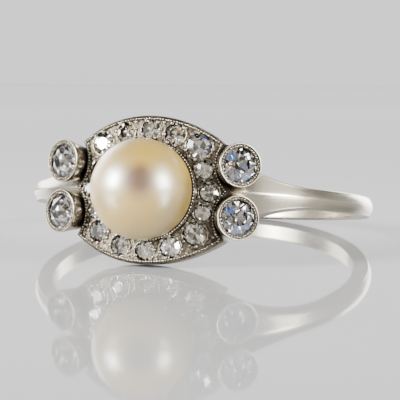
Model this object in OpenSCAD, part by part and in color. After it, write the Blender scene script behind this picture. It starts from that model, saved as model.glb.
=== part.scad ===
// Pearl and diamond ring, lying on its side. Millimetres, +Z up.
// The ring rests on the lower edge of its head plate and on the back of its shank.

/* [Finger and shank] */
// Inside diameter of the finger hole
finger_d = 17.4; // [16.8:0.1:18]
// Thickness of the shank, out from the finger
shank_t = 1.05; // [0.95:0.05:1.2]
// Width of the shank at its back, along the finger
shank_w = 1.05; // [0.9:0.05:1.2]
// Radius of the shank's rounded outer face, in section
crown_r = 0.75; // [0.7:0.01:0.85]

/* [Shoulders] */
// Distance from the middle of the head at which the shoulders start to widen
flare_x = 7.9; // [7.4:0.1:8.2]
// Radius of the hollow curve along the edges of a shoulder
flare_r = 7.1; // [6.5:0.1:8]
// Most that a shoulder reaches to either side, where it meets the head
flare_max = 2.2; // [2:0.05:2.3]
// Half width of the band under the middle of the head
waist_half = 1.3; // [1.2:0.05:1.5]
// Slope of the two faces that meet in the ridge, in degrees
roof_slope = 24; // [22:1:27]
// How far the ridge rises over the shank on its way to the head
roof_rise = 0.3; // [0.25:0.01:0.32]

/* [Head plate] */
// Reach of the plate above the middle, along the finger
head_h = 3.59; // [3.56:0.01:3.64]
// Reach of the plate below the middle, a little more than above it
head_low = 3.74; // [3.7:0.01:3.78]
// Radius of the plate's upper and lower edges
arch_r = 6.17; // [6:0.01:6.4]
// Radius of the four hollow bites in the plate's sides
bite_r = 1.73; // [1.65:0.01:1.75]
// Place of a bite's centre across the finger
bite_x = 5.17; // [5.15:0.01:5.25]
// Place of a bite's centre along the finger
bite_y = 1.3; // [1.28:0.01:1.32]
// Height of the rim's top over the finger's axis
rim_top = 10.42; // [10.4:0.01:10.45]
// Height of the floor between the stones over the finger's axis
field_top = 10.28; // [10.26:0.01:10.3]
// Height of the plate's underside over the finger's axis
plate_under = 9.3; // [9.25:0.01:9.4]
// Width of the raised rim with its outer step
rim_w = 0.2; // [0.18:0.01:0.2]

/* [Pearl and cup] */
// Diameter of the pearl
pearl_d = 4.9; // [4.84:0.02:4.92]
// Height of the pearl's centre over the finger's axis
pearl_z = 11.16; // [11.14:0.01:11.2]
// Height of the cup's lip over the finger's axis
cup_top = 10.5; // [10.46:0.01:10.52]
// Outside radius of the cup
cup_r = 2.48; // [2.47:0.01:2.5]
// How far the cup and the pearl sit below the middle
cup_drop = 0.11; // [0.09:0.01:0.12]

/* [Collets] */
// Place of a collet's rim across the finger
collet_x = 4.64; // [4.6:0.01:4.7]
// Place of a collet's rim along the finger
collet_y = 1.27; // [1.24:0.01:1.3]
// Height of a collet's rim over the finger's axis
collet_z = 10.13; // [10.1:0.01:10.2]
// Outside radius of a collet at its rim
collet_r = 1.08; // [1.05:0.01:1.1]
// Outward lean of the two left collets, in degrees
lean_left = 25; // [22:1:28]
// Outward lean of the two right collets, in degrees
lean_right = 35; // [31:1:36]
// Radius of a collet's diamond
collet_stone_r = 0.87; // [0.84:0.01:0.88]

/* [Hidden] */
// Gap between a stone or the pearl and its setting
gap = 0.02;
finger_r = finger_d / 2;
outer_r = finger_r + shank_t;
// How deep joined forms run into each other: thick ones, thin ones, and ones whose faces would meet flush
bury = 0.3;
lap = 0.1;
sink = 0.03;
// How far a cutting form runs past what it cuts, and half the length of the finger hole's cut
over = 1;
cut_half = 12;

// Depth of the ridge's start below the shank's outer face
ridge_drop = 0.11;
// Where a shoulder's steep faces end beside the ridge, and the flatter faces' slope as a share of theirs
break_y = 1;
flat_share = 1 / 3;

// Heights of a collet below its rim: the girdle of its stone, and the foot. How far the lip holds the stone.
collet_girdle = 0.14;
collet_hold = 0.03;
collet_foot = 1.9;
collet_foot_r = 0.76;

// The pearl's flat base, the cup's underside and the pearl's post
pearl_base = 9.47;
cup_under = 9;
post_r = 0.4;
post_top = 11;
post_root = 0.2;
post_room = 0.1;

// Cut of the stones: table, crown height and pavilion slope as shares of the stone's radius
OLD_CUT = [0.48, 0.36, 0.9];
SMALL_CUT = [0.55, 0.29, 0.84];
girdle_share = 0.05;
mid_share = 0.8;
pavilion_mid_share = 0.62;
culet_share = 0.09;
// Distance to the middle of a side of an eight sided ring, as a share of its radius
side_share = cos(22.5);
// Depth of a small diamond's girdle below the floor between the stones
girdle_depth = 0.04;

// Small diamonds round the pearl: name, place across the finger, place along it, radius
STONES = [
    ["diamond_top", 0.03, 2.91, 0.46],
    ["diamond_bottom", 0.03, -3.08, 0.46],
    ["diamond_flank_upper_left", -1.27, 2.72, 0.5],
    ["diamond_flank_upper_right", 1.28, 2.7, 0.52],
    ["diamond_flank_lower_left", -1.26, -2.86, 0.5],
    ["diamond_flank_lower_right", 1.31, -2.85, 0.51],
    ["diamond_corner_upper_left", -2.52, 2.19, 0.55],
    ["diamond_corner_upper_right", 2.45, 2.14, 0.63],
    ["diamond_corner_lower_left", -2.52, -2.19, 0.55],
    ["diamond_corner_lower_right", 2.45, -2.12, 0.59],
    ["diamond_side_upper_left", -2.78, 1, 0.46],
    ["diamond_side_upper_right", 2.77, 1.02, 0.46],
    ["diamond_side_lower_left", -2.79, -1.16, 0.44],
    ["diamond_side_lower_right", 2.78, -1.08, 0.43],
    ["diamond_cusp_left", -3.07, -0.06, 0.49],
    ["diamond_cusp_right", 3.02, -0.07, 0.49]
];
// Hand setting: how far a stone tips, how far each is turned from the last, and the steps of its tip
stone_tip = 4;
stone_turn = 53;
TIP_STEPS = [97, 61];
COLLET_TURN = [11, 17];

CORNERS = [[-1, 1], [1, 1], [-1, -1], [1, -1]];
function collet_name(s) =
    str("collet_diamond", s[1] > 0 ? "_upper" : "_lower", s[0] < 0 ? "_left" : "_right");

// Resting pose: the plate's lower inner edge and the back of the shank share the ground
crown_edge = outer_r - crown_r + sqrt(crown_r * crown_r - shank_w * shank_w / 4);
tilt = atan((head_low - shank_w / 2) / (plate_under + crown_edge));
rest_z = head_low * cos(tilt) - plate_under * sin(tilt);
front_y = pearl_z * cos(tilt) + pearl_d / 2;
back_y = (outer_r - crown_r) * cos(tilt) + crown_r;
rest_y = (front_y - back_y) / 2;

// From the ring's own frame, finger along +Z and head toward -Y, to its resting pose
module at_rest() {
    translate([0, rest_y, rest_z])
        rotate([-tilt, 0, 0])
            children();
}

// From the head's frame, X across the finger, Y along it and Z outward, to the resting pose
module in_head() {
    at_rest()
        rotate([90, 0, 0])
            children();
}

// A round solid about the finger's axis, in the head's frame
module about_finger(r, half) {
    rotate([90, 0, 0])
        cylinder(r = r, h = 2 * half, center = true, $fn = 180);
}

// Section of the shank: flat inside, straight sides and a rounded outer face
module shank_section() {
    intersection() {
        translate([finger_r - bury, -shank_w / 2])
            square([shank_t + bury, shank_w]);
        union() {
            translate([outer_r - crown_r, 0])
                circle(r = crown_r, $fn = 64);
            translate([finger_r - bury, -shank_w])
                square([crown_edge - finger_r + bury, 2 * shank_w]);
        }
    }
}

module shank() {
    rotate([90, 0, 0])
        rotate_extrude($fn = 180)
            shank_section();
}

// Section of a shoulder's roof: steep faces beside the ridge, flatter ones farther out
ridge_r = outer_r - ridge_drop;
module roof_section() {
    inner = finger_r - roof_rise - bury;
    far = flare_max + bury;
    knee = ridge_r - break_y * tan(roof_slope);
    edge = knee - (far - break_y) * tan(roof_slope * flat_share);
    polygon([
        [inner, -far], [edge, -far], [knee, -break_y], [ridge_r, 0],
        [knee, break_y], [edge, far], [inner, far]
    ]);
}

// Outline of the right shoulder seen from the front, hollow along both edges.
// It ends inside the shank, a little narrower than the shank is.
module shoulder_outline() {
    start = 2.6;
    neck = shank_w / 2 - sink;
    difference() {
        translate([start, -flare_max])
            square([outer_r - start, 2 * flare_max]);
        for (s = [-1, 1]) {
            translate([flare_x, s * (neck + flare_r)])
                circle(r = flare_r, $fn = 180);
            translate([flare_x, s > 0 ? neck : -neck - flare_max])
                square([outer_r, flare_max]);
        }
    }
}

module shoulders() {
    intersection() {
        translate([0, 0, roof_rise])
            rotate([90, 0, 0])
                rotate_extrude($fn = 180)
                    roof_section();
        linear_extrude(height = outer_r + over)
            for (s = [0, 1])
                mirror([s, 0])
                    shoulder_outline();
    }
}

// Outline of the head plate, drawn in by a margin all round
module plate_outline(margin) {
    difference() {
        intersection() {
            translate([0, head_h - arch_r])
                circle(r = arch_r - margin, $fn = 180);
            translate([0, arch_r - head_low])
                circle(r = arch_r - margin, $fn = 180);
            square([2 * bite_x - bite_r, 2 * head_low], center = true);
        }
        for (s = CORNERS)
            translate([s[0] * bite_x, s[1] * bite_y])
                circle(r = bite_r + margin, $fn = 120);
    }
}

// One layer of the plate, curved about the finger
module plate_layer(margin, top) {
    intersection() {
        linear_extrude(height = rim_top + over)
            plate_outline(margin);
        difference() {
            about_finger(top, head_low + over);
            about_finger(plate_under, head_low + 2 * over);
        }
    }
}

// Plate with an outer step, a raised rim and a floor between the stones
module head_plate() {
    step_w = 0.08;
    difference() {
        union() {
            plate_layer(0, (field_top + rim_top) / 2);
            plate_layer(step_w, rim_top);
        }
        intersection() {
            linear_extrude(height = rim_top + over)
                plate_outline(rim_w);
            difference() {
                about_finger(rim_top + over, head_low);
                about_finger(field_top, head_low + over);
            }
        }
    }
}

// Band under the plate, which closes the finger hole and narrows toward its middle
module under_band() {
    waist_r = 4;
    band_w = 7;
    intersection() {
        difference() {
            about_finger(plate_under + lap, flare_max + over);
            about_finger(finger_r - bury, flare_max + 2 * over);
        }
        linear_extrude(height = outer_r)
            difference() {
                square([band_w, 2 * flare_max], center = true);
                for (s = [-1, 1])
                    translate([0, s * (waist_half + waist_r)])
                        circle(r = waist_r, $fn = 120);
            }
    }
}

module cup() {
    translate([0, -cup_drop, cup_under])
        cylinder(r = cup_r, h = cup_top - cup_under, $fn = 96);
}

module cup_hollow() {
    translate([0, -cup_drop, 0])
        intersection() {
            translate([0, 0, pearl_z])
                sphere(r = pearl_d / 2 + gap, $fn = 96);
            translate([0, 0, pearl_base - gap])
                cylinder(r = pearl_d, h = pearl_d);
        }
}

module post() {
    translate([0, -cup_drop, pearl_base - post_root])
        cylinder(r = post_r, h = post_top - pearl_base + post_root, $fn = 48);
}

// A collet's own frame: origin at the middle of its rim, +Z out along its axis
module at_collet(s) {
    lean = s[0] < 0 ? lean_left : lean_right;
    translate([s[0] * collet_x, s[1] * collet_y, collet_z])
        rotate([0, s[0] * lean, 0])
            children();
}

module collet_wall() {
    lip = 0.06;
    rotate_extrude($fn = 96)
        polygon([
            [0, -collet_foot], [collet_foot_r, -collet_foot], [collet_r, -2 * lip],
            [collet_r - lip / 2, -lip / 2], [collet_r - lip, 0], [0, 0]
        ]);
}

// Hollow of a collet: a lip that narrows over the stone, a groove, a seat and a light hole
module collet_hollow() {
    hole_r = 0.45;
    hole_z = -3.5;
    above = 0.5;
    mouth_r = collet_stone_r - collet_hold;
    groove_r = collet_stone_r + gap;
    seat_z = -collet_girdle - girdle_share * collet_stone_r - gap;
    // The seat clears the steepest line down the stone
    steepest = OLD_CUT[2] * (1 - pavilion_mid_share * side_share) / (1 - pavilion_mid_share);
    seat_h = (groove_r - hole_r) * steepest;
    rotate_extrude($fn = 96)
        polygon([
            [0, hole_z], [hole_r, hole_z], [hole_r, seat_z - seat_h], [groove_r, seat_z],
            [groove_r, -collet_girdle + gap], [mouth_r, 0], [mouth_r, above], [0, above]
        ]);
}

// A small diamond's own frame: origin at its girdle, +Z outward, each stone turned and tipped a little
module at_stone(i) {
    place = STONES[i];
    girdle_z = field_top - girdle_depth;
    across = asin(place[1] / girdle_z);
    translate([place[1], place[2], girdle_z * cos(across)])
        rotate([stone_tip * sin(TIP_STEPS[0] * i), across + stone_tip * cos(TIP_STEPS[1] * i), 0])
            rotate([0, 0, stone_turn * i])
                children();
}

// Seat of a small diamond with the pierced hole behind it
module stone_seat(r) {
    hole_r = 0.45 * r;
    hole_z = -2.4;
    above = 0.5;
    wall_r = r + gap;
    seat_z = -girdle_share * r - SMALL_CUT[2] * r * (1 - side_share) - gap;
    seat_h = (wall_r - hole_r) * SMALL_CUT[2] * side_share;
    rotate_extrude($fn = 64)
        polygon([
            [0, hole_z], [hole_r, hole_z], [hole_r, seat_z - seat_h],
            [wall_r, seat_z], [wall_r, above], [0, above]
        ]);
}

module ring_mount() {
    color("#b9b2a2")
        in_head() {
            difference() {
                union() {
                    shank();
                    shoulders();
                    under_band();
                    head_plate();
                    cup();
                    for (s = CORNERS)
                        at_collet(s)
                            collet_wall();
                }
                about_finger(finger_r, cut_half);
                cup_hollow();
                for (s = CORNERS)
                    at_collet(s)
                        collet_hollow();
                for (i = [0 : len(STONES) - 1])
                    at_stone(i)
                        stone_seat(STONES[i][3]);
            }
            post();
        }
}

module pearl() {
    drill_h = post_top + post_room - pearl_base + post_root;
    color("#e6d8b8")
        in_head()
            translate([0, -cup_drop, 0])
                difference() {
                    translate([0, 0, pearl_z])
                        sphere(r = pearl_d / 2, $fn = 128);
                    translate([0, 0, pearl_base - pearl_d])
                        cylinder(r = pearl_d, h = pearl_d);
                    translate([0, 0, pearl_base - post_root])
                        cylinder(r = post_r + gap, h = drill_h, $fn = 48);
                }
}

// Ring of n points at a radius and height, the first at an angle
function ring(n, r, z, start) =
    [for (k = [0 : n - 1]) let (a = start + 360 * k / n) [r * cos(a), r * sin(a), z]];

// Brilliant cut of a given girdle radius: table, 8 stars, 8 kites and 16 halves above the girdle,
// 16 halves, 8 mains and a culet below it. cut gives the table, crown and pavilion as shares of r.
module brilliant(r, cut) {
    crown_slope = cut[1] / (1 - cut[0]);
    low = -girdle_share * r;
    mid_r = mid_share * r;
    mid_z = (r - mid_r * side_share) * crown_slope;
    pav_r = pavilion_mid_share * r;
    pav_z = low - (r - pav_r * side_share) * cut[2];
    culet_r = culet_share * r;
    culet_z = low - (r - culet_r * side_share) * cut[2];
    points = concat(
        ring(8, cut[0] * r, cut[1] * r, 0),
        ring(8, mid_r, mid_z, 22.5),
        ring(16, r, 0, 0),
        ring(16, r, low, 0),
        ring(8, pav_r, pav_z, 22.5),
        ring(8, culet_r, culet_z, 22.5)
    );
    // First index of each ring of points
    m = 8;
    g = 16;
    b = 32;
    p = 48;
    c = 56;
    upper = [for (k = [0 : 7]) let (n = (k + 1) % 8, l = (k + 7) % 8) each [
        [n, m + k, k],
        [m + k, g + 2 * k, m + l, k],
        [g + 2 * k + 1, g + 2 * k, m + k],
        [g + 2 * n, g + 2 * k + 1, m + k]
    ]];
    girdle = [for (k = [0 : 15]) let (n = (k + 1) % 16) [g + n, b + n, b + k, g + k]];
    lower = [for (k = [0 : 7]) let (n = (k + 1) % 8, l = (k + 7) % 8) each [
        [b + 2 * k, b + 2 * k + 1, p + k],
        [b + 2 * k + 1, b + 2 * n, p + k],
        [p + k, c + k, c + l, p + l, b + 2 * k]
    ]];
    table = [[for (k = [0 : 7]) 7 - k]];
    culet = [[for (k = [0 : 7]) c + k]];
    polyhedron(points = points, faces = concat(table, upper, girdle, lower, culet));
}

// Single cut of a given girdle radius: table and 8 facets above a scalloped girdle,
// 8 facets and a culet below it
module single_cut(r, cut) {
    crown_slope = cut[1] / (1 - cut[0]);
    low = -girdle_share * r;
    scallop = r * (1 - side_share);
    culet_r = culet_share * r;
    points = concat(
        ring(8, cut[0] * r, crown_slope * r * (1 - cut[0] * side_share), 0),
        ring(8, r, crown_slope * scallop, 0),
        ring(8, r, 0, 22.5),
        ring(8, r, low - cut[2] * scallop, 0),
        ring(8, r, low, 22.5),
        ring(8, culet_r, low - cut[2] * (r - culet_r * side_share), 0)
    );
    // First index of each ring of points: peaks and dips of the girdle above, then below, then the culet
    a = 8;
    b = 16;
    d = 24;
    e = 32;
    c = 40;
    sides = [for (k = [0 : 7]) let (n = (k + 1) % 8) each [
        [k, n, a + n, b + k, a + k],
        [a + k, b + k, e + k, d + k],
        [b + k, a + n, d + n, e + k],
        [d + k, e + k, d + n, c + n, c + k]
    ]];
    table = [[for (k = [0 : 7]) 7 - k]];
    culet = [[for (k = [0 : 7]) c + k]];
    polyhedron(points = points, faces = concat(table, sides, culet));
}

module small_diamond(i) {
    color("#dfe6ec")
        in_head()
            at_stone(i)
                single_cut(STONES[i][3], SMALL_CUT);
}

module collet_diamond(s) {
    color("#dfe6ec")
        in_head()
            at_collet(s)
                translate([0, 0, -collet_girdle])
                    rotate([0, 0, COLLET_TURN[0] * s[0] + COLLET_TURN[1] * s[1]])
                        brilliant(collet_stone_r, OLD_CUT);
}

ring_mount();
pearl();
for (s = CORNERS)
    collet_diamond(s);
for (i = [0 : len(STONES) - 1])
    small_diamond(i);
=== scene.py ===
import math

import bmesh
import bpy
import numpy as np
from mathutils import Matrix, Vector, geometry, noise


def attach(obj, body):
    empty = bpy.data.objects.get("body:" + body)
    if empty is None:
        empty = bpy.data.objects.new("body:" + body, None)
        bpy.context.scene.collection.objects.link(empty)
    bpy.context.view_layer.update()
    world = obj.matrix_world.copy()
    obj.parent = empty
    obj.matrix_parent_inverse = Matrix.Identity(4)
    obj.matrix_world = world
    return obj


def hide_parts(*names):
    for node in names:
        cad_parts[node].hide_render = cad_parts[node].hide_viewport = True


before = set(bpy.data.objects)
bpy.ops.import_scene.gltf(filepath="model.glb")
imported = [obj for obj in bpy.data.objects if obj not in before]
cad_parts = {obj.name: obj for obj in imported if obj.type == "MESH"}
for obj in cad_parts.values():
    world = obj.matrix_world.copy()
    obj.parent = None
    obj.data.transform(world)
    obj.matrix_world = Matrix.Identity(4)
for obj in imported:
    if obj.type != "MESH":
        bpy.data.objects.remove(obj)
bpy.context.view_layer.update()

MM = 0.001
scene = bpy.context.scene

# The head's frame of the CAD part: X across the finger, Y along it, Z outward, in millimetres
TILT = math.radians(9.6863)
RING_CENTRE = Vector((0, 1.9146, 2.12192)) * MM
HEAD = (
    Matrix.Translation(RING_CENTRE)
    @ Matrix.Rotation(-TILT, 4, "X")
    @ Matrix.Rotation(math.pi / 2, 4, "X")
    @ Matrix.Scale(MM, 4)
)

# Camera at the angle of the photo
CAMERA_TURN, CAMERA_RISE, CAMERA_ROLL = (math.radians(a) for a in (15.89, 6.39, 0.25))
CAMERA_DISTANCE = 0.06208
FOCAL_PIXELS, FRAME_PIXELS = 1064.7, 400
# Place of the ring's middle in the frame, from the frame's own middle
AIM_PIXELS = (3.55, -1.36)
SENSOR_WIDTH = 36
CLIP_START, CLIP_END = 0.002, 10


def direction(turn, rise):
    """Direction at two angles: round the ring from the head's side, and above the floor."""
    return Vector((math.sin(turn) * math.cos(rise), -math.cos(turn) * math.cos(rise), math.sin(rise)))


def make_camera():
    back = direction(CAMERA_TURN, CAMERA_RISE)
    right = (-back).cross(Vector((0, 0, 1))).normalized()
    up = right.cross(-back).normalized()
    across = right * math.cos(CAMERA_ROLL) + up * math.sin(CAMERA_ROLL)
    above = up * math.cos(CAMERA_ROLL) - right * math.sin(CAMERA_ROLL)
    aside, lift = (pixels / FOCAL_PIXELS for pixels in AIM_PIXELS)
    ahead = (-back - across * aside - above * lift).normalized()
    across = (across - ahead * across.dot(ahead)).normalized()
    above = across.cross(ahead).normalized()
    data = bpy.data.cameras.new("camera")
    data.sensor_width = SENSOR_WIDTH
    data.lens = SENSOR_WIDTH * FOCAL_PIXELS / FRAME_PIXELS
    data.clip_start, data.clip_end = CLIP_START, CLIP_END
    camera = bpy.data.objects.new("camera", data)
    turned = Matrix((across, above, -ahead)).transposed().to_4x4()
    camera.matrix_world = Matrix.Translation(RING_CENTRE + back * CAMERA_DISTANCE) @ turned
    scene.collection.objects.link(camera)
    scene.camera = camera


make_camera()

# Sizes of the part, from its CAD source, in millimetres
FINGER_R, OUTER_R = 8.7, 9.75
SHANK_W, CROWN_R = 1.05, 0.75
FLARE_X, FLARE_R, FLARE_MAX = 7.9, 7.1, 2.2
WAIST_HALF, WAIST_R, WAIST_X = 1.3, 4.0, 2.55
NECK = SHANK_W / 2 - 0.03
RIDGE_R, ROOF_RISE, BREAK_Y = 9.64, 0.3, 1.0
ROOF_SLOPE, EAVES_SLOPE = math.tan(math.radians(24)), math.tan(math.radians(8))
HEAD_H, HEAD_LOW, ARCH_R = 3.59, 3.74, 6.17
BITE_R, BITE_X, BITE_Y = 1.73, 5.17, 1.3
FIELD_TOP, PLATE_UNDER, RIM_W = 10.28, 9.3, 0.2
PEARL_R, PEARL_Z, PEARL_BASE = 2.45, 11.16, 9.47
CUP_TOP, CUP_R, CUP_DROP, CUP_UNDER = 10.5, 2.48, 0.11, 9.0
COLLET_X, COLLET_Y, COLLET_Z, COLLET_R = 4.64, 1.27, 10.13, 1.08
COLLET_LEAN = {-1: math.radians(25), 1: math.radians(35)}
COLLET_STONE_R, COLLET_FOOT, COLLET_FOOT_R = 0.87, 1.9, 0.76
COLLET_GIRDLE, COLLET_HOLD, COLLET_HOLE_R = 0.14, 0.03, 0.45
GAP = 0.02
# Small diamonds: place across the finger, place along it, radius
STONES = [
    (0.03, 2.91, 0.46), (0.03, -3.08, 0.46),
    (-1.27, 2.72, 0.5), (1.28, 2.7, 0.52),
    (-1.26, -2.86, 0.5), (1.31, -2.85, 0.51),
    (-2.52, 2.19, 0.55), (2.45, 2.14, 0.63),
    (-2.52, -2.19, 0.55), (2.45, -2.12, 0.59),
    (-2.78, 1, 0.46), (2.77, 1.02, 0.46),
    (-2.79, -1.16, 0.44), (2.78, -1.08, 0.43),
    (-3.07, -0.06, 0.49), (3.02, -0.07, 0.49),
]
# Depth of their girdles in the floor, how far they are tipped, and the steps of that, in degrees
GIRDLE_DEPTH, STONE_TIP, TIP_STEPS = 0.04, 4, (97, 61)
# Depth of a girdle and radius of a light hole, as shares of the stone's radius
GIRDLE_SHARE, HOLE_SHARE = 0.05, 0.45
# Slopes of the pavilions of both cuts, and where the old one's facets change
SMALL_SLOPE, OLD_SLOPE, PAVILION_MID_SHARE = 0.84, 0.9, 0.62
# Distance to the middle of a side of an eight sided ring, as a share of its radius
SIDE_SHARE = math.cos(math.pi / 8)
# The collets, by side and row
CORNERS = [(-1, 1), (1, 1), (-1, -1), (1, -1)]


def collet_place(side, row):
    turned = Matrix.Rotation(side * COLLET_LEAN[side], 4, "Y")
    return Matrix.Translation((side * COLLET_X, row * COLLET_Y, COLLET_Z)) @ turned


def stone_place(i):
    x, y, _ = STONES[i]
    girdle_z = FIELD_TOP - GIRDLE_DEPTH
    across = math.asin(x / girdle_z)
    tip = math.radians(STONE_TIP * math.sin(math.radians(TIP_STEPS[0] * i)))
    lean = across + math.radians(STONE_TIP * math.cos(math.radians(TIP_STEPS[1] * i)))
    return (
        Matrix.Translation((x, y, girdle_z * math.cos(across)))
        @ Matrix.Rotation(lean, 4, "Y")
        @ Matrix.Rotation(tip, 4, "X")
    )


# Sockets of a Mix node, by what it mixes: its two values and its result
MIX_SOCKETS = {"RGBA": (6, 7, 2), "FLOAT": (2, 3, 0)}
WHITE, BLACK = (1, 1, 1, 1), (0, 0, 0, 1)


def new_material(name):
    material = bpy.data.materials.new(name)
    material.use_nodes = True
    tree = material.node_tree
    return material, tree, tree.nodes["Principled BSDF"]


def set_inputs(node, values):
    for key, value in values.items():
        node.inputs[key].default_value = value


def add(tree, kind, **values):
    """Adds a node, and sets its properties or its inputs by name."""
    node = tree.nodes.new("ShaderNode" + kind)
    for key, value in values.items():
        if hasattr(node, key):
            setattr(node, key, value)
        else:
            node.inputs[key.replace("_", " ")].default_value = value
    return node


def feed(tree, value, socket):
    """Links an output to the socket, or sets a constant on it."""
    if isinstance(value, bpy.types.NodeSocket):
        tree.links.new(value, socket)
    else:
        socket.default_value = value


def ramp(tree, source, stops):
    """Colours or grey values at places from 0 to 1."""
    node = add(tree, "ValToRGB")
    while len(node.color_ramp.elements) < len(stops):
        node.color_ramp.elements.new(0.5)
    for element, (place, colour) in zip(node.color_ramp.elements, stops):
        element.position = place
        element.color = (*colour, 1) if hasattr(colour, "__len__") else (colour,) * 3 + (1,)
    tree.links.new(source, node.inputs[0])
    return node.outputs[0]


def mix(tree, share, first, second, kind="RGBA", blend="MIX"):
    """Mixes two colours or values. Each of them, and the share, is an output or a constant."""
    node = add(tree, "Mix", data_type=kind, blend_type=blend)
    low, high, result = MIX_SOCKETS[kind]
    for value, socket in ((share, 0), (first, low), (second, high)):
        feed(tree, value, node.inputs[socket])
    return node.outputs[result]


def multiply(tree, first, second, share=1.0):
    return mix(tree, share, first, second, blend="MULTIPLY")


def remap(tree, source, low, high, start=0.0, end=1.0):
    """Maps the span from low to high to the span from start to end, and holds it there."""
    node = add(tree, "MapRange", From_Min=low, From_Max=high, To_Min=start, To_Max=end)
    tree.links.new(source, node.inputs["Value"])
    return node.outputs[0]


def speckle(tree, place, **values):
    node = add(tree, "TexNoise", **values)
    tree.links.new(place, node.inputs["Vector"])
    return node.outputs["Fac"]


def vector_math(tree, operation, *values):
    node = add(tree, "VectorMath", operation=operation)
    for value, socket in zip(values, node.inputs):
        feed(tree, value, socket)
    return node.outputs["Value" if operation in ("DOT_PRODUCT", "DISTANCE") else "Vector"]


def roughen(tree, shader, height, strength, distance):
    bump = add(tree, "Bump", Strength=strength, Distance=distance)
    tree.links.new(height, bump.inputs["Height"])
    tree.links.new(bump.outputs["Normal"], shader.inputs["Normal"])


# Metal: scales of its clouds and scratches, how far its tone and roughness vary, and the full bump's height
CLOUD_SCALE, SCRATCH_SCALE = 900.0, 9000.0
DULL_TONE, ROUGH_SPREAD = 0.93, 0.15
FINE_RELIEF, FULL_RELIEF = 0.00001, 0.0001


def metal(name, colour, rough, shade_and_grime, reach, relief=FINE_RELIEF, mottle=0.0):
    """White metal with fine wear, and painted shade with grime darkening its recesses within a reach in
    metres.
    """
    material, tree, shader = new_material(name)
    shader.inputs["Metallic"].default_value = 1.0
    place = add(tree, "TexCoord").outputs["Object"]
    cloud = speckle(tree, place, Scale=CLOUD_SCALE, Detail=5.0, Roughness=0.6)
    scratch = speckle(tree, place, Scale=SCRATCH_SCALE, Detail=3.0)
    recess = add(tree, "AmbientOcclusion", samples=8, Distance=reach).outputs["AO"]
    tone = ramp(tree, cloud, [(0.3, [DULL_TONE * c for c in colour]), (0.7, colour)])
    # Painted shade with grime: the metal darkens where ambient occlusion finds a recess
    base = multiply(tree, tone, ramp(tree, recess, [(0.3, shade_and_grime), (0.85, (1, 1, 1))]))
    if mottle:
        base = multiply(tree, base, ramp(tree, scratch, [(0.4, 1 - mottle), (0.6, 1 + mottle)]))
    tree.links.new(base, shader.inputs["Base Color"])
    spread = ramp(tree, cloud, [(0.25, rough * (1 - ROUGH_SPREAD)), (0.75, rough * (1 + ROUGH_SPREAD))])
    tree.links.new(spread, shader.inputs["Roughness"])
    roughen(tree, shader, scratch, min(1.0, relief / FULL_RELIEF), relief)
    return material


# Direction along which the pearl's body colour changes, partly its own tint and partly painted light and
# shade, and share and scale of the clouds in it
NACRE_SIDE, NACRE_CLOUD, NACRE_CLOUD_SCALE = Vector((0.85, 0.1, -0.5)), 0.14, 500.0
# Fine pores of its surface, the depth in metres
PORE_SCALE, PORE_STRENGTH, PORE_DEPTH = 2600.0, 0.06, 0.00002
# Body colour along that direction: the nacre's tint with painted shade, darkest at its lower right limb
NACRE_BODY_AND_SHADE = [
    (0.08, (0.42, 0.295, 0.115)), (0.27, (0.32, 0.212, 0.036)), (0.5, (0.42, 0.275, 0.022)),
    (0.73, (0.42, 0.272, 0.004)), (0.87, (0.2, 0.122, 0.0)),
]
# Rosy overtone with a painted reflection of the dark camera side: the nacre is rosy and darker where it is
# seen nearly straight on, a little above its middle
REFLECTION_TIP = (0.05, 0, -0.2)
NACRE_OVERTONE_AND_REFLECTION = [
    (0.0, (0.22, 0.13, 0.12)), (0.02, (0.31, 0.21, 0.22)), (0.05, (0.66, 0.57, 0.6)), (0.11, (1, 1, 1)),
]
NACRE_GLOSS = {
    "Roughness": 0.5, "Specular IOR Level": 0.8,
    "Subsurface Weight": 0.6, "Subsurface Radius": (1.0, 0.7, 0.45), "Subsurface Scale": 0.0003,
    "Coat Weight": 1.0, "Coat Roughness": 0.33, "Coat IOR": 2.5,
}


def pearl_material():
    material, tree, shader = new_material("nacre")
    set_inputs(shader, NACRE_GLOSS)
    place = add(tree, "TexCoord").outputs["Object"]
    from_middle = vector_math(tree, "SUBTRACT", place, HEAD @ Vector((0, -CUP_DROP, PEARL_Z)))
    side = vector_math(tree, "DOT_PRODUCT", from_middle, NACRE_SIDE.normalized() / (PEARL_R * MM))
    cloud = speckle(tree, place, Scale=NACRE_CLOUD_SCALE, Detail=3.0)
    zone = mix(tree, NACRE_CLOUD, remap(tree, side, -1.0, 1.0), cloud, kind="FLOAT")
    normal = add(tree, "NewGeometry").outputs["Normal"]
    tipped = vector_math(tree, "NORMALIZE", vector_math(tree, "ADD", normal, REFLECTION_TIP))
    facing = add(tree, "LayerWeight", Blend=0.5)
    tree.links.new(tipped, facing.inputs["Normal"])
    # Painted reflection: darker and rosy where the tipped normal faces the camera
    overtone_and_reflection = ramp(tree, facing.outputs["Facing"], NACRE_OVERTONE_AND_REFLECTION)
    tree.links.new(multiply(tree, ramp(tree, zone, NACRE_BODY_AND_SHADE), overtone_and_reflection), shader.inputs["Base Color"])
    pores = speckle(tree, place, Scale=PORE_SCALE, Detail=4.0)
    roughen(tree, shader, pores, PORE_STRENGTH, PORE_DEPTH)
    return material


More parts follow.
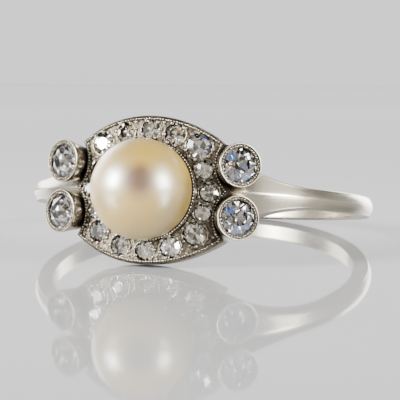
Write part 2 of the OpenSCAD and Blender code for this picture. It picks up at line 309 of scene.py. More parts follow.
# Painted flashes of coloured light on the stones, which also glow: collet or number of the stone, place on
# it, radius and colour
BLUE, PEACH, YELLOW = (0.12, 0.3, 1.0), (1.0, 0.62, 0.42), (1.0, 0.8, 0.4)
PAINTED_FLASHES = [
    ((1, 1), -0.56, 0.4, 0.28, BLUE), ((1, 1), -0.58, -0.1, 0.26, PEACH),
    ((1, 1), -0.28, 0.74, 0.13, YELLOW), ((1, 1), 0.17, 0.66, 0.12, BLUE),
    ((1, -1), -0.5, 0.34, 0.26, BLUE), (7, -0.45, 0.06, 0.16, BLUE), (7, 0.28, 0.36, 0.16, BLUE),
    (3, 0.18, 0.16, 0.18, PEACH), (9, 0.5, -0.2, 0.16, PEACH),
]
# Height of the flashes on a stone, and where they begin and end to fade, as shares of their radius
FLASH_Z, FLASH_CORE, FLASH_END = 0.1, 0.5, 1.1
# Glass of the stones; its emission makes the painted flashes glow
DIAMOND_GLASS = {"Transmission Weight": 1.0, "IOR": 2.42, "Roughness": 0.0, "Emission Strength": 0.16}
# Clear stone's two tints, the scale of their clouds, and how much of a stone's warmth its green loses
CLEAR_TINTS = [(0.35, (0.93, 0.94, 0.96)), (0.65, (1, 0.985, 0.95))]
TINT_SCALE, GREEN_LOSS = 1500.0, 0.2


def diamond_material(name, tone, warmth):
    """Clear stone of a tone, less blue by its warmth, with painted flashes of coloured light at their
    places, which glow.
    """
    material, tree, shader = new_material(name)
    set_inputs(shader, DIAMOND_GLASS)
    place = add(tree, "TexCoord").outputs["Object"]
    colour = ramp(tree, speckle(tree, place, Scale=TINT_SCALE, Detail=1.0), [
        (at, (r * tone, (g - GREEN_LOSS * warmth) * tone, (b - warmth) * tone))
        for at, (r, g, b) in CLEAR_TINTS
    ])
    painted_glow = BLACK
    for setting, x, y, radius, tint in PAINTED_FLASHES:
        stone = collet_place(*setting) if isinstance(setting, tuple) else stone_place(setting)
        away = vector_math(tree, "DISTANCE", place, HEAD @ (stone @ Vector((x, y, FLASH_Z))))
        share = remap(tree, away, radius * FLASH_CORE * MM, radius * FLASH_END * MM, 1.0, 0.0)
        colour = mix(tree, share, colour, (*tint, 1))
        # Painted glow: each flash also emits its colour
        painted_glow = mix(tree, share, painted_glow, (*tint, 1))
    tree.links.new(colour, shader.inputs["Base Color"])
    tree.links.new(painted_glow, shader.inputs["Emission Color"])
    return material


# Each metal's fourth colour is its painted shade with grime, in recesses within the reach after it
POLISHED = metal("white_metal_polished", (0.52, 0.475, 0.395), 0.18, (0.09, 0.065, 0.04), 0.0004)
BRUSHED = metal("white_metal_brushed", (0.45, 0.41, 0.32), 0.24, (0.2, 0.15, 0.1), 0.0006)
# Field metal: worn and rough, and darkened as painted shade of the cut field between the stones
WORN_AND_SHADED = metal("white_metal_worn_and_shaded", (0.14, 0.119, 0.085), 0.5, (0.1, 0.075, 0.05), 0.0004, 0.00008, 0.5)
COLLET = metal("white_metal_collet", (0.42, 0.37, 0.285), 0.26, (0.08, 0.055, 0.03), 0.0005)
GRAIN = metal("white_metal_grain", (0.36, 0.32, 0.255), 0.28, (0.17, 0.13, 0.09), 0.0003)
WALL = metal("white_metal_wall", (0.42, 0.355, 0.265), 0.32, (0.1, 0.075, 0.05), 0.0003)
NACRE = pearl_material()
DIAMOND = diamond_material("diamond", 0.97, 0.04)
WARM_DIAMOND = diamond_material("diamond_warm", 0.97, 0.09)
SHADED_DIAMOND = diamond_material("diamond_shaded", 0.48, 0.04)

# Meshes are made in the head's frame, and points closer than this become one
WELD = 1e-5
# Edges sharper than these angles stay sharp: on plain forms, and on round ones
PLAIN_ANGLE, ROUND_ANGLE = 32, 60
# Points round each turned form
SEAT_ROUND, HOLLOW_ROUND, CUP_ROUND, COLLET_ROUND, PEARL_ROUND, WIRE_ROUND = 40, 64, 160, 96, 160, 48


def mesh_object(name, verts, faces, material):
    mesh = bpy.data.meshes.new(name)
    mesh.from_pydata([tuple(v) for v in verts], [], [tuple(f) for f in faces])
    mesh.materials.append(material)
    body = bmesh.new()
    body.from_mesh(mesh)
    bmesh.ops.remove_doubles(body, verts=body.verts, dist=WELD)
    bmesh.ops.recalc_face_normals(body, faces=body.faces)
    body.to_mesh(mesh)
    body.free()
    made = bpy.data.objects.new(name, mesh)
    scene.collection.objects.link(made)
    return made


def repaint(made, material, chosen):
    """Gives a second material to the chosen faces."""
    made.data.materials.append(material)
    for face in made.data.polygons:
        if chosen(face):
            face.material_index = 1
    return made


def cut(made, cutters):
    """Takes the cutters out of the piece."""
    for cutter in cutters:
        boolean = made.modifiers.new("cut", "BOOLEAN")
        boolean.operation = "DIFFERENCE"
        boolean.solver = "MANIFOLD"
        boolean.object = cutter
    graph = bpy.context.evaluated_depsgraph_get()
    mesh = bpy.data.meshes.new_from_object(made.evaluated_get(graph))
    made.modifiers.clear()
    made.data = mesh


def finish_piece(made, node=None, angle=PLAIN_ANGLE):
    """Smooths the piece, brings it from the head's frame to its place, and ties it to the part."""
    mesh = made.data
    mesh.polygons.foreach_set("use_smooth", [True] * len(mesh.polygons))
    mesh.set_sharp_from_angle(angle=math.radians(angle))
    mesh.transform(HEAD)
    mesh.update()
    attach(made, "root")
    if node:
        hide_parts(node)


def circle(radius, count):
    """Even points round a circle."""
    angles = [2 * math.pi * k / count for k in range(count)]
    return [(radius * math.cos(a), radius * math.sin(a)) for a in angles]


def arc(centre, radius, start, end, count):
    """Points of an arc, angles in degrees."""
    return [
        (centre[0] + radius * math.cos(math.radians(a)), centre[1] + radius * math.sin(math.radians(a)))
        for a in np.linspace(start, end, count)
    ]


def lathe(profile, count, place=None):
    """Turns (radius, height) points about Z. A radius of 0 at an end closes it."""
    verts = [Vector((x, y, z)) for r, z in profile for x, y in circle(r, count)]
    faces = []
    for i in range(len(profile) - 1):
        for k in range(count):
            n = (k + 1) % count
            a, b, c, d = i * count + k, i * count + n, (i + 1) * count + n, (i + 1) * count + k
            if profile[i][0] == 0:
                faces.append((a, c, d))
            elif profile[i + 1][0] == 0:
                faces.append((a, b, d))
            else:
                faces.append((a, b, c, d))
    if place is not None:
        verts = [place @ v for v in verts]
    return verts, faces


def skin(loops, closed):
    """Joins each loop of points to the next one, and the last to the first if closed."""
    count, size = len(loops), len(loops[0])
    faces = []
    for i in range(count if closed else count - 1):
        low, high = i * size, (i + 1) % count * size
        for k in range(size):
            n = (k + 1) % size
            faces.append((low + k, low + n, high + n, high + k))
    return [point for loop in loops for point in loop], faces


def collect(parts):
    """Joins several (verts, faces) into one."""
    verts, faces = [], []
    for v, f in parts:
        start = len(verts)
        verts.extend(v)
        faces.extend(tuple(i + start for i in face) for face in f)
    return verts, faces


# Where the hollows end behind the small stones, behind the collets' stones, and above both
SEAT_END, HOLLOW_END, HOLLOW_TOP = -2.4, -3.5, 0.5


def stone_cutter(i):
    """Seat and light hole of a small stone."""
    r = STONES[i][2]
    wall, hole = r + GAP, HOLE_SHARE * r
    z = -GIRDLE_SHARE * r - SMALL_SLOPE * r * (1 - SIDE_SHARE) - GAP
    foot = z - (wall - hole) * SMALL_SLOPE * SIDE_SHARE
    profile = [
        (0, SEAT_END), (hole, SEAT_END), (hole, foot), (wall, z), (wall, HOLLOW_TOP), (0, HOLLOW_TOP),
    ]
    return mesh_object("cutter", *lathe(profile, SEAT_ROUND, stone_place(i)), POLISHED)


def collet_cutter(side, row):
    """Hollow of a collet, below and round its stone."""
    wall, mouth = COLLET_STONE_R + GAP, COLLET_STONE_R - COLLET_HOLD
    z = -COLLET_GIRDLE - GIRDLE_SHARE * COLLET_STONE_R - GAP
    steepest = OLD_SLOPE * (1 - PAVILION_MID_SHARE * SIDE_SHARE) / (1 - PAVILION_MID_SHARE)
    foot = z - (wall - COLLET_HOLE_R) * steepest
    profile = [
        (0, HOLLOW_END), (COLLET_HOLE_R, HOLLOW_END), (COLLET_HOLE_R, foot), (wall, z),
        (wall, GAP - COLLET_GIRDLE), (mouth, 0.0), (mouth, HOLLOW_TOP), (0, HOLLOW_TOP),
    ]
    return mesh_object("cutter", *lathe(profile, HOLLOW_ROUND, collet_place(side, row)), POLISHED)


# The shank with its shoulders: one section, swept round the finger
SHANK_STEPS = 540
# Rounding of the section's edges, and the angles of their points
INNER_EDGE, OUTER_EDGE = 0.1, 0.07
INNER_TURNS, OUTER_TURNS = np.radians([20, 45, 70, 90]), np.radians([0, 20, 40, 60, 80])
# Points across half of its inside, and places up its side as shares of that
INSIDE_POINTS, FLANK_SHARES = 7, (0.25, 0.5, 0.75)
# How round the ridge is, and how far that is offset
RIDGE_SOFT, RIDGE_DROP = 0.1, 0.07
# Fillets between the roof and its eaves, and between the roof and the crown
ROOF_BLEND, CROWN_BLEND = 0.06, 0.08
# How fast the crown's height falls outside the shank's own width
CROWN_FALL = 3
# Places across the outer face, as shares of its half width, close together at the ridge
OUTER_SHARES = [0.98, 0.9, 0.8, 0.62, 0.5, 0.4, 0.3, 0.22, 0.15, 0.1, 0.06, 0.03, 0.015, 0.0]


def half_width(turn, radius):
    """Half the width of the band, at an angle from the head and a radius."""
    if math.cos(turn) <= 0:
        return SHANK_W / 2
    x = abs(radius * math.sin(turn))
    if x < WAIST_X:
        width = WAIST_HALF + WAIST_R - math.sqrt(WAIST_R**2 - x**2)
    elif x < FLARE_X:
        width = NECK + FLARE_R - math.sqrt(FLARE_R**2 - (FLARE_X - x) ** 2)
    else:
        width = NECK
    return max(min(width, FLARE_MAX), SHANK_W / 2)


def soft_max(a, b, blend):
    """The larger of two heights, with a fillet where they meet."""
    h = max(0.0, blend - abs(a - b)) / blend
    return max(a, b) + h * h * blend / 4


def outer_radius(turn, y):
    """Outer face: the shoulders' ridged roof, or the shank's crown where that stands higher."""
    soft_y = math.sqrt(y * y + RIDGE_SOFT**2) - RIDGE_DROP
    roof = RIDGE_R - soft_y * ROOF_SLOPE
    eaves = RIDGE_R - BREAK_Y * ROOF_SLOPE - (soft_y - BREAK_Y) * EAVES_SLOPE
    roof = soft_max(roof, eaves, ROOF_BLEND) + ROOF_RISE * math.cos(turn)
    inside, outside = min(abs(y), SHANK_W / 2), max(0.0, abs(y) - SHANK_W / 2)
    crown = OUTER_R - CROWN_R + math.sqrt(CROWN_R**2 - inside**2) - CROWN_FALL * outside
    return soft_max(roof, crown, CROWN_BLEND)


def shank_section(turn):
    """Half of the section, from the middle of its inside to the top of its crown, as (radius, y)."""
    wide_in = half_width(turn, FINGER_R)
    wide_out = half_width(turn, outer_radius(turn, half_width(turn, OUTER_R)))
    brow = outer_radius(turn, wide_out - OUTER_EDGE)
    low, high = FINGER_R + INNER_EDGE, brow - OUTER_EDGE
    points = [(FINGER_R, y) for y in np.linspace(0, wide_in - INNER_EDGE, INSIDE_POINTS)]
    for a in INNER_TURNS:
        points.append((low - INNER_EDGE * math.cos(a), wide_in - INNER_EDGE + INNER_EDGE * math.sin(a)))
    for share in FLANK_SHARES:
        r = low + (high - low) * share
        points.append((r, half_width(turn, r)))
    for a in OUTER_TURNS:
        points.append((high + OUTER_EDGE * math.sin(a), wide_out - OUTER_EDGE + OUTER_EDGE * math.cos(a)))
    across = [(wide_out - OUTER_EDGE) * share for share in OUTER_SHARES]
    return points + [(outer_radius(turn, y), y) for y in across]


def make_shank():
    loops = []
    for k in range(SHANK_STEPS):
        turn = 2 * math.pi * k / SHANK_STEPS
        half = shank_section(turn)
        whole = half + [(r, -y) for r, y in reversed(half[1:-1])]
        loops.append([(r * math.sin(turn), y, r * math.cos(turn)) for r, y in whole])
    return mesh_object("shank", *skin(loops, closed=True), BRUSHED)


# The head plate's side, rim, bead and inner step, as (distance in from its outline, radius)
PLATE_EDGE = [
    (0.03, PLATE_UNDER), (0.0, PLATE_UNDER + 0.03), (0.0, 9.8), (0.0, 10.26), (0.012, 10.31),
    (0.03, 10.345), (0.055, 10.375), (0.078, 10.39), (0.092, 10.375), (0.1, 10.34),
    (0.16, 10.33), (0.2, 10.32), (0.205, FIELD_TOP),
]
# Points along an arch and along a bite
OUTLINE_POINTS = (170, 54)
# Spacing of the points in the floor between the stones and under the plate, and the floor's relief
FIELD_SPACING, UNDER_SPACING, FIELD_RELIEF = 0.075, 0.3, 0.05
# How clear of the outline those points stay, as a share of their spacing
OUTLINE_CLEAR = 0.6
# The filling is the triangles inside the outline, and points closer than this become one
FILL_INSIDE, FILL_WELD = 1, 1e-6
# The relief's noise: scale, layer, and its fall, step and octaves
RELIEF_SCALE, RELIEF_LAYER, RELIEF_FRACTAL = 5, 3.0, (1.0, 2.0, 3)
# The plate's outer wall: depth in from its outline, highest radius, most that it faces sideways
WALL_DEPTH, WALL_TOP, WALL_SIDEWAYS = 0.004, 10.3, 0.7
# Height over the underside up to which faces belong to it
UNDER_DEPTH = 0.02


def meet(c1, r1, c2, r2, nearest):
    """Where two circles meet, the meeting nearest to a point."""
    c1, c2 = np.array(c1, float), np.array(c2, float)
    d = np.linalg.norm(c2 - c1)
    a = (r1 * r1 - r2 * r2 + d * d) / (2 * d)
    h = math.sqrt(r1 * r1 - a * a)
    along = (c2 - c1) / d
    side = np.array((-along[1], along[0]))
    both = [c1 + along * a + side * h, c1 + along * a - side * h]
    return min(both, key=lambda p: np.linalg.norm(p - np.array(nearest)))


def plate_outline(margin, counts=OUTLINE_POINTS):
    """The outline drawn in by a margin: a closed run of (x, y), anticlockwise from its right cusp."""
    top, low = (0, HEAD_H - ARCH_R), (0, ARCH_R - HEAD_LOW)
    arch, bite = ARCH_R - margin, BITE_R + margin
    ru, rl, lu, ll = (BITE_X, BITE_Y), (BITE_X, -BITE_Y), (-BITE_X, BITE_Y), (-BITE_X, -BITE_Y)
    # each cusp and tip is looked for near a rough place
    cusp_r = meet(ru, bite, rl, bite, (4, 0))
    tip_ru = meet(top, arch, ru, bite, (3.8, 2.3))
    tip_lu = meet(top, arch, lu, bite, (-3.8, 2.3))
    cusp_l = meet(lu, bite, ll, bite, (-4, 0))
    tip_ll = meet(low, arch, ll, bite, (-3.8, -2.4))
    tip_rl = meet(low, arch, rl, bite, (3.8, -2.4))
    run = []
    for centre, radius, start, end, count in (
        (ru, bite, cusp_r, tip_ru, counts[1]), (top, arch, tip_ru, tip_lu, counts[0]),
        (lu, bite, tip_lu, cusp_l, counts[1]), (ll, bite, cusp_l, tip_ll, counts[1]),
        (low, arch, tip_ll, tip_rl, counts[0]), (rl, bite, tip_rl, cusp_r, counts[1]),
    ):
        a = math.atan2(start[1] - centre[1], start[0] - centre[0])
        b = math.atan2(end[1] - centre[1], end[0] - centre[0])
        b = a + (b - a + math.pi) % (2 * math.pi) - math.pi
        for t in np.linspace(a, b, count, endpoint=False):
            run.append((centre[0] + radius * math.cos(t), centre[1] + radius * math.sin(t)))
    return run


def plate_room(x, y):
    """Distance inside the plate's outline."""
    room = min(ARCH_R - math.hypot(x, y - HEAD_H + ARCH_R), ARCH_R - math.hypot(x, y - ARCH_R + HEAD_LOW))
    for side, row in CORNERS:
        room = min(room, math.hypot(x - side * BITE_X, y - row * BITE_Y) - BITE_R)
    return room


def bent(x, y, radius):
    """A point over (x, y) at a radius from the finger's axis."""
    return (x, y, math.sqrt(radius * radius - x * x))


def sheet(loop, radius, spacing, relief):
    """Fills a loop of (x, y) with triangles between points at a spacing, with a relief inside the loop."""
    edge = np.array(loop)
    inner = []
    for x in np.arange(edge[:, 0].min(), edge[:, 0].max(), spacing):
        for y in np.arange(edge[:, 1].min(), edge[:, 1].max(), spacing):
            if np.min(np.hypot(edge[:, 0] - x, edge[:, 1] - y)) > spacing * OUTLINE_CLEAR:
                inner.append((x, y))
    coords, outline = [Vector(p) for p in loop + inner], list(range(len(loop)))
    points, _, faces, origin, _, _ = geometry.delaunay_2d_cdt(coords, [], [outline], FILL_INSIDE, FILL_WELD)
    verts = []
    for point, source in zip(points, origin):
        lift = 0.0
        if not source or source[0] >= len(loop):
            where = Vector((*point, RELIEF_LAYER)) * RELIEF_SCALE
            lift = relief * noise.fractal(where, *RELIEF_FRACTAL)
        verts.append(bent(point[0], point[1], radius + lift))
    return verts, [tuple(f) for f in faces]


def make_plate():
    loops = [plate_outline(margin) for margin, _ in PLATE_EDGE]
    levels = [[bent(x, y, r) for x, y in loop] for loop, (_, r) in zip(loops, PLATE_EDGE)]
    side = skin(levels, closed=False)
    field = sheet(loops[-1], FIELD_TOP, FIELD_SPACING, FIELD_RELIEF)
    under = sheet(loops[0], PLATE_UNDER, UNDER_SPACING, 0.0)

    def on_wall(face):
        x, y, z = face.center
        radius = math.hypot(x, z)
        outside = plate_room(x, y) < WALL_DEPTH and radius < WALL_TOP
        return outside and abs(face.normal.x) < WALL_SIDEWAYS or radius < PLATE_UNDER + UNDER_DEPTH

    # The field gets the worn metal with its painted shade
    return repaint(mesh_object("head_plate", *collect([side, field, under]), WORN_AND_SHADED), WALL, on_wall)


# The cup: chamfer of its foot, how far its lip lies below its top, and the lip's width
CUP_EDGE, CUP_LIP, CUP_LIP_W = 0.03, 0.03, 0.01
# Its shoulder, as (distance in from its side, distance below its top), and the steps of the pearl's seat
CUP_SHOULDER = [(0.0, 0.09), (0.02, 0.05), (0.05, 0.04)]
CUP_SEAT_STEPS = 9


def make_cup():
    hollow = PEARL_R + GAP
    lip_z = PEARL_Z - CUP_TOP + CUP_LIP
    lip_in = math.sqrt(hollow**2 - lip_z**2)
    low, high = math.asin((PEARL_Z - PEARL_BASE + GAP) / hollow), math.asin(lip_z / hollow)
    profile = [(0, CUP_UNDER), (CUP_R - CUP_EDGE, CUP_UNDER), (CUP_R, CUP_UNDER + CUP_EDGE)]
    profile += [(CUP_R - inward, CUP_TOP - below) for inward, below in CUP_SHOULDER]
    profile += [(lip_in + CUP_LIP_W, CUP_TOP - CUP_LIP)]
    for a in np.linspace(high, low, CUP_SEAT_STEPS):
        profile.append((hollow * math.cos(a), PEARL_Z - hollow * math.sin(a)))
    profile += [(0, PEARL_BASE - GAP)]

    # The cup's inside round the pearl gets the worn metal with its painted shade
    def in_cup(face):
        x, y, z = face.center
        return z > PEARL_BASE and math.hypot(x, y + CUP_DROP) < CUP_R - CUP_EDGE

    place = Matrix.Translation((0, -CUP_DROP, 0))
    return repaint(mesh_object("pearl_cup", *lathe(profile, CUP_ROUND, place), POLISHED), WORN_AND_SHADED, in_cup)


# A collet's side and lip, as (radius, height from its rim)
COLLET_SIDE = [(0.86, -1.3), (0.97, -0.72), (1.03, -0.4), (COLLET_R, -0.14)]
COLLET_LIP = [(1.0, -0.05), (0.97, -0.065), (COLLET_STONE_R + 0.01, -0.07), (0, -0.07)]
# Rounding of its rim, the end of that in degrees, and its points
COLLET_EDGE, COLLET_EDGE_END, COLLET_EDGE_POINTS = 0.04, 110, 7
# Its lip is worn, and darkened as painted shade, above this height and within this radius
LIP_WORN_SHADED_Z, LIP_WORN_SHADED_R = -0.075, COLLET_R - 0.05


def make_collet(name, side, row):
    profile = [(0, -COLLET_FOOT), (COLLET_FOOT_R, -COLLET_FOOT)] + COLLET_SIDE
    middle = (COLLET_R - COLLET_EDGE, -COLLET_EDGE)
    profile += arc(middle, COLLET_EDGE, 0, COLLET_EDGE_END, COLLET_EDGE_POINTS) + COLLET_LIP
    place = collet_place(side, row)
    inside = place.inverted()

    def on_lip(face):
        x, y, z = inside @ face.center
        return z > LIP_WORN_SHADED_Z and math.hypot(x, y) < LIP_WORN_SHADED_R

    return repaint(mesh_object(name, *lathe(profile, COLLET_ROUND, place), COLLET), WORN_AND_SHADED, on_lip)


# How uneven the pearl is, as a share of its radius, how finely, and from what height over its base
SWELL, SWELL_SCALE, SWELL_START = 0.0035, 0.45, 0.3
# Steps from its base to its top, and the angle that the last of them leaves open
PEARL_STEPS, PEARL_TIP = 90, 0.012


def make_pearl():
    """The pearl, a little out of round, with its flat base."""
    low, high = math.asin((PEARL_BASE - PEARL_Z) / PEARL_R), math.pi / 2 - PEARL_TIP
    profile = [(0, PEARL_BASE)]
    for a in np.linspace(low, high, PEARL_STEPS):
        profile.append((PEARL_R * math.cos(a), PEARL_Z + PEARL_R * math.sin(a)))
    verts, faces = lathe(profile + [(0, PEARL_Z + PEARL_R)], PEARL_ROUND)
    middle = Vector((0, 0, PEARL_Z))
    shaped = []
    for v in verts:
        d = v - middle
        swell = 1 + SWELL * noise.noise(d * SWELL_SCALE) if v.z > PEARL_BASE + SWELL_START else 1
        shaped.append(middle + d * swell + Vector((0, -CUP_DROP, 0)))
    return mesh_object("pearl_body", shaped, faces, NACRE)


# Beads on the plate's rim: distance in from the outline, its points, pitch, radius and height
RIM_BEAD_IN, RIM_BEAD_POINTS = 0.15, (400, 120)
RIM_BEAD_PITCH, RIM_BEAD_R, RIM_BEAD_Z = 0.14, 0.05, 10.37
# Beads on the cup and on each collet: count, radius and height of their ring, radius of a bead
CUP_BEADS, CUP_BEAD_RING, CUP_BEAD_Z, CUP_BEAD_R = 102, 2.44, CUP_TOP + 0.01, 0.053
COLLET_BEADS, COLLET_BEAD_RING, COLLET_BEAD_Z, COLLET_BEAD_R = 40, 0.935, -0.045, 0.047
# How much a bead's radius varies, and the noise's steps from bead to bead on the rim and the cup
BEAD_SPREAD, RIM_NOISE, CUP_NOISE, CUP_NOISE_ROW = 0.006, 0.7, 0.9, 5
# Height of a bead or a grain as a share of its width
BEAD_FLAT, GRAIN_FLAT = 1.0, 0.85


def unit_ball():
    ball = bmesh.new()
    bmesh.ops.create_icosphere(ball, subdivisions=2, radius=1.0)
    verts = [v.co.copy() for v in ball.verts]
    faces = [tuple(v.index for v in f.verts) for f in ball.faces]
    ball.free()
    return verts, faces


def beads(name, places, material):
    """One mesh of small beads, from (point, radius, squash along the outward direction, direction)."""
    ball, faces = unit_ball()
    parts = []
    for point, radius, flat, out in places:
        turn = Vector((0, 0, 1)).rotation_difference(Vector(out)).to_matrix()
        shaped = [Vector((v.x * radius, v.y * radius, v.z * radius * flat)) for v in ball]
        parts.append(([Vector(point) + turn @ v for v in shaped], faces))
    return mesh_object(name, *collect(parts), material)


def along(loop, pitch):
    """Even steps along a closed run of (x, y)."""
    points = np.array(loop + [loop[0]])
    steps = np.hypot(*np.diff(points, axis=0).T)
    reach = np.concatenate([[0], np.cumsum(steps)])
    count = int(round(reach[-1] / pitch))
    at = np.arange(count) * reach[-1] / count
    return list(zip(np.interp(at, reach, points[:, 0]), np.interp(at, reach, points[:, 1])))


def make_beads():
    """Millegrain on the plate's rim, the cup and the collets."""
    rim, cup, ring = [], [], []
    for k, (x, y) in enumerate(along(plate_outline(RIM_BEAD_IN, RIM_BEAD_POINTS), RIM_BEAD_PITCH)):
        r = RIM_BEAD_R + BEAD_SPREAD * noise.noise(Vector((k * RIM_NOISE, 0, 0)))
        rim.append((bent(x, y, RIM_BEAD_Z), r, BEAD_FLAT, bent(x, 0, RIM_BEAD_Z)))
    for k, (x, y) in enumerate(circle(CUP_BEAD_RING, CUP_BEADS)):
        r = CUP_BEAD_R + BEAD_SPREAD * noise.noise(Vector((k * CUP_NOISE, CUP_NOISE_ROW, 0)))
        cup.append(((x, y - CUP_DROP, CUP_BEAD_Z), r, BEAD_FLAT, (0, 0, 1)))
    for side, row in CORNERS:
        place = collet_place(side, row)
        out = place.to_3x3() @ Vector((0, 0, 1))
        for x, y in circle(COLLET_BEAD_RING, COLLET_BEADS):
            ring.append((place @ Vector((x, y, COLLET_BEAD_Z)), COLLET_BEAD_R, BEAD_FLAT, out))
    return [
        beads("millegrain_plate", rim, POLISHED), beads("millegrain_cup", cup, POLISHED),
        beads("millegrain_collets", ring, POLISHED),
    ]


# Grains: seed of their scatter, and their height over the floor between the stones
GRAIN_SEED, GRAIN_RISE = 5, 0.02
# Grains at the stones: tries round each, turn from stone to stone, distance, mean radius, its spread
SIDE_TRIES, SIDE_TURN, SIDE_OUT, SIDE_R, SIDE_SPREAD = 24, 11, 0.04, 0.09, 0.035
# Grains between them: grid, shift from it, mean radius, its spread
FILL_X, FILL_Y, FILL_STEP = (-4, 4), (-3.7, 3.6), 0.12
FILL_SHIFT, FILL_R, FILL_SPREAD = 0.06, 0.075, 0.03
# Steps of the noise from stone to stone, from try to try, and over the grid
STONE_NOISE, TRY_NOISE, FILL_NOISE = 3.1, 1.7, 9
# Least distance between two grains, and the same at the far left, where they are crowded
GRAIN_CLEAR, CROWDED_CLEAR, CROWDED_X = 0.3, 0.24, -2.6
# Least distance from the plate's rim, the cup and a stone
RIM_CLEAR, CUP_CLEAR, STONE_CLEAR = 0.02, 0.03, 0.015


def make_grains():
    """Grains of metal raised between the small stones and pushed over their edges."""
    found = []

    def offer(x, y, size, clear):
        if plate_room(x, y) < RIM_W + RIM_CLEAR or math.hypot(x, y + CUP_DROP) < CUP_R + CUP_CLEAR:
            return
        if any(math.hypot(x - sx, y - sy) < sr + STONE_CLEAR for sx, sy, sr in STONES):
            return
        if any(math.hypot(x - fx, y - fy) < clear for fx, fy, _ in found):
            return
        found.append((x, y, size))

    noise.seed_set(GRAIN_SEED)
    for i, (x, y, r) in enumerate(STONES):
        for k in range(SIDE_TRIES):
            a = math.radians(360 / SIDE_TRIES * k + SIDE_TURN * i)
            size = SIDE_R + SIDE_SPREAD * noise.noise(Vector((i * STONE_NOISE, k * TRY_NOISE, 0)))
            offer(x + (r + SIDE_OUT) * math.cos(a), y + (r + SIDE_OUT) * math.sin(a), size, GRAIN_CLEAR)
    for x in np.arange(*FILL_X, FILL_STEP):
        clear = GRAIN_CLEAR if x > CROWDED_X else CROWDED_CLEAR
        for y in np.arange(*FILL_Y, FILL_STEP):
            push = noise.noise_vector(Vector((x * FILL_NOISE, y * FILL_NOISE, 1))) * FILL_SHIFT
            size = FILL_R + FILL_SPREAD * push.z / FILL_SHIFT
            offer(x + push.x, y + push.y, size, clear)
    places = [
        (bent(x, y, FIELD_TOP + GRAIN_RISE), size, GRAIN_FLAT, bent(x, 0, FIELD_TOP))
        for x, y, size in found
    ]
    return beads("stone_grains", places, GRAIN)


# Edge round a small stone: its wire's radius, height over the stone's girdle, and points round the wire
WIRE_R, WIRE_Z, WIRE_POINTS = 0.025, 0.045, 9


def make_edges():
    """Thin raised edge of metal round each small stone."""
    parts = [
        lathe(arc((r + GAP + WIRE_R, WIRE_Z), WIRE_R, 0, 360, WIRE_POINTS), WIRE_ROUND, stone_place(i))
        for i, (_, _, r) in enumerate(STONES)
    ]
    return mesh_object("stone_edges", *collect(parts), GRAIN)


def make_part():
    seats = [stone_cutter(i) for i in range(len(STONES))]
    hollows = [collet_cutter(side, row) for side, row in CORNERS]
    cup, shank, plate = make_cup(), make_shank(), make_plate()
    for piece, cutters in [(shank, seats + hollows), (plate, seats), (cup, seats)]:
        cut(piece, cutters)
        finish_piece(piece, "ring_mount")
    for (side, row), hollow in zip(CORNERS, hollows):
        name = f"collet_{'upper' if row > 0 else 'lower'}_{'left' if side < 0 else 'right'}"
        collet = make_collet(name, side, row)
        cut(collet, [hollow])
        finish_piece(collet, "ring_mount")
    for cutter in seats + hollows:
        bpy.data.objects.remove(cutter)
    for piece in [*make_beads(), make_grains(), make_edges()]:
        finish_piece(piece, angle=ROUND_ANGLE)
    finish_piece(make_pearl(), "pearl", ROUND_ANGLE)


def dress_diamonds():
    for name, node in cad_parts.items():
        if name.startswith("collet_diamond"):
            material = SHADED_DIAMOND if name.endswith("right") else DIAMOND
        elif name.startswith("diamond"):
            material = WARM_DIAMOND
        else:
            continue
        node.data.materials.clear()
        node.data.materials.append(material)


make_part()
dress_diamonds()

# Stage: a pale glossy floor that reaches the horizon
FLOOR_HALF, FLOOR_STEPS = 4.0, 24
FLOOR_GREY, FLOOR_ROUGH, FLOOR_IOR = 0.34, 0.045, 1.6


def make_floor():
    ticks = [FLOOR_HALF * math.copysign(abs(t) ** 2, t) for t in np.linspace(-1, 1, FLOOR_STEPS + 1)]
    verts = [(x, y, 0) for y in ticks for x in ticks]
    row = FLOOR_STEPS + 1
    corners = [j * row + i for j in range(FLOOR_STEPS) for i in range(FLOOR_STEPS)]
    mesh = bpy.data.meshes.new("floor")
    mesh.from_pydata(verts, [], [(c, c + 1, c + row + 1, c + row) for c in corners])
    material, _, shader = new_material("pale_floor")
    grey = (FLOOR_GREY, FLOOR_GREY, FLOOR_GREY, 1)
    set_inputs(shader, {"Base Color": grey, "Roughness": FLOOR_ROUGH, "IOR": FLOOR_IOR})
    mesh.materials.append(material)
    floor = bpy.data.objects.new("floor", mesh)
    scene.collection.objects.link(floor)


# Softboxes: name, turn and rise in degrees, distance and size in metres, radiance
SOFTBOXES = [
    ("softbox_left", -57, 22, 0.3, (0.16, 0.15), 17),
    ("softbox_left_core", -48.5, 20, 0.29, (0.065, 0.1), 145),
    ("softbox_right", 74, 19, 0.3, (0.12, 0.16), 20),
    ("softbox_right_core", 72.5, 18, 0.29, (0.085, 0.1), 44),
    ("softbox_back_right", 162, 14, 0.35, (0.16, 0.2), 12),
    ("softbox_high_right", 88, 42, 0.3, (0.14, 0.1), 2.4),
    ("softbox_back_left", 233, 18, 0.35, (0.2, 0.18), 9),
]
LIGHT_AIM = HEAD @ Vector((0, 0, 9))


def make_light(name, turn, rise, distance, size, radiance):
    """A softbox at an angle round the ring, aimed at its head."""
    place = LIGHT_AIM + direction(math.radians(turn), math.radians(rise)) * distance
    data = bpy.data.lights.new(name, "AREA")
    data.shape = "RECTANGLE"
    data.size, data.size_y = size
    data.energy = radiance * math.pi * size[0] * size[1]
    light = bpy.data.objects.new(name, data)
    turned = (place - LIGHT_AIM).to_track_quat("Z", "Y").to_matrix().to_4x4()
    light.matrix_world = Matrix.Translation(place) @ turned
    light.visible_camera = False
    scene.collection.objects.link(light)


# Brightness of the room, and that of the backdrop that the camera sees, as a share of it
ROOM, BACKDROP = 1.7, 1.22 / 1.7
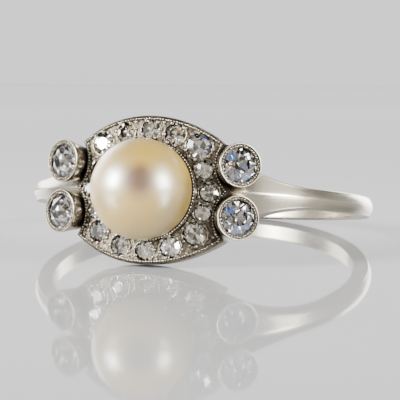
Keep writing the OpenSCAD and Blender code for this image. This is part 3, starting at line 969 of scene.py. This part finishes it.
# Tone of the room from the camera's side to behind the ring, and from the floor's level to straight above
ROOM_ROUND = [(0.0, (0.6, 0.54, 0.46)), (0.35, (0.6, 0.54, 0.46)), (0.5, 0.35), (0.75, 0.5), (1.0, 1.0)]
ROOM_HEIGHT = [(0.0, 0.76), (0.06, 0.79), (0.13, 1.0), (0.24, 1.0), (0.42, 0.45), (0.95, 0.15)]
# Boards and gaps round the camera, which give each facet of a stone its own tone
BOARD_PHASE, BOARD_SCALE = 3.5, 3.2
ROOM_BOARDS = [(0.36, 0.05), (0.46, 0.13), (0.53, 0.4), (0.61, 1.0)]
# Where the boards fade in, by how far a direction points behind the ring
BOARDS_START, BOARDS_FULL = 0.3, -0.1
# Height of a direction below which the room is even all round, and above which it isn't
EVEN_BELOW, UNEVEN_ABOVE = 0.03, 0.1


def make_studio():
    """Room of the studio: brightest behind the ring, dim at the sides, dark where the camera stands."""
    world = bpy.data.worlds.new("studio")
    scene.world = world
    world.use_nodes = True
    tree = world.node_tree
    toward = add(tree, "TexCoord").outputs["Generated"]
    behind = vector_math(tree, "DOT_PRODUCT", toward, (-math.sin(CAMERA_TURN), math.cos(CAMERA_TURN), 0))
    boards = speckle(tree, toward, noise_dimensions="4D", W=BOARD_PHASE, Scale=BOARD_SCALE, Detail=0.0)
    tone = multiply(
        tree, ramp(tree, remap(tree, behind, -1.0, 1.0), ROOM_ROUND), ramp(tree, boards, ROOM_BOARDS),
        remap(tree, behind, BOARDS_START, BOARDS_FULL),
    )
    height = add(tree, "SeparateXYZ")
    tree.links.new(toward, height.inputs[0])
    height = height.outputs["Z"]
    tone = mix(tree, remap(tree, height, EVEN_BELOW, UNEVEN_ABOVE, 1.0, 0.0), tone, WHITE)
    tone = multiply(tree, tone, ramp(tree, height, ROOM_HEIGHT))
    seen = add(tree, "LightPath").outputs["Is Camera Ray"]
    background = tree.nodes["Background"]
    tree.links.new(mix(tree, seen, tone, (BACKDROP, BACKDROP, BACKDROP, 1)), background.inputs["Color"])
    background.inputs["Strength"].default_value = ROOM


make_floor()
for softbox in SOFTBOXES:
    make_light(*softbox)
make_studio()
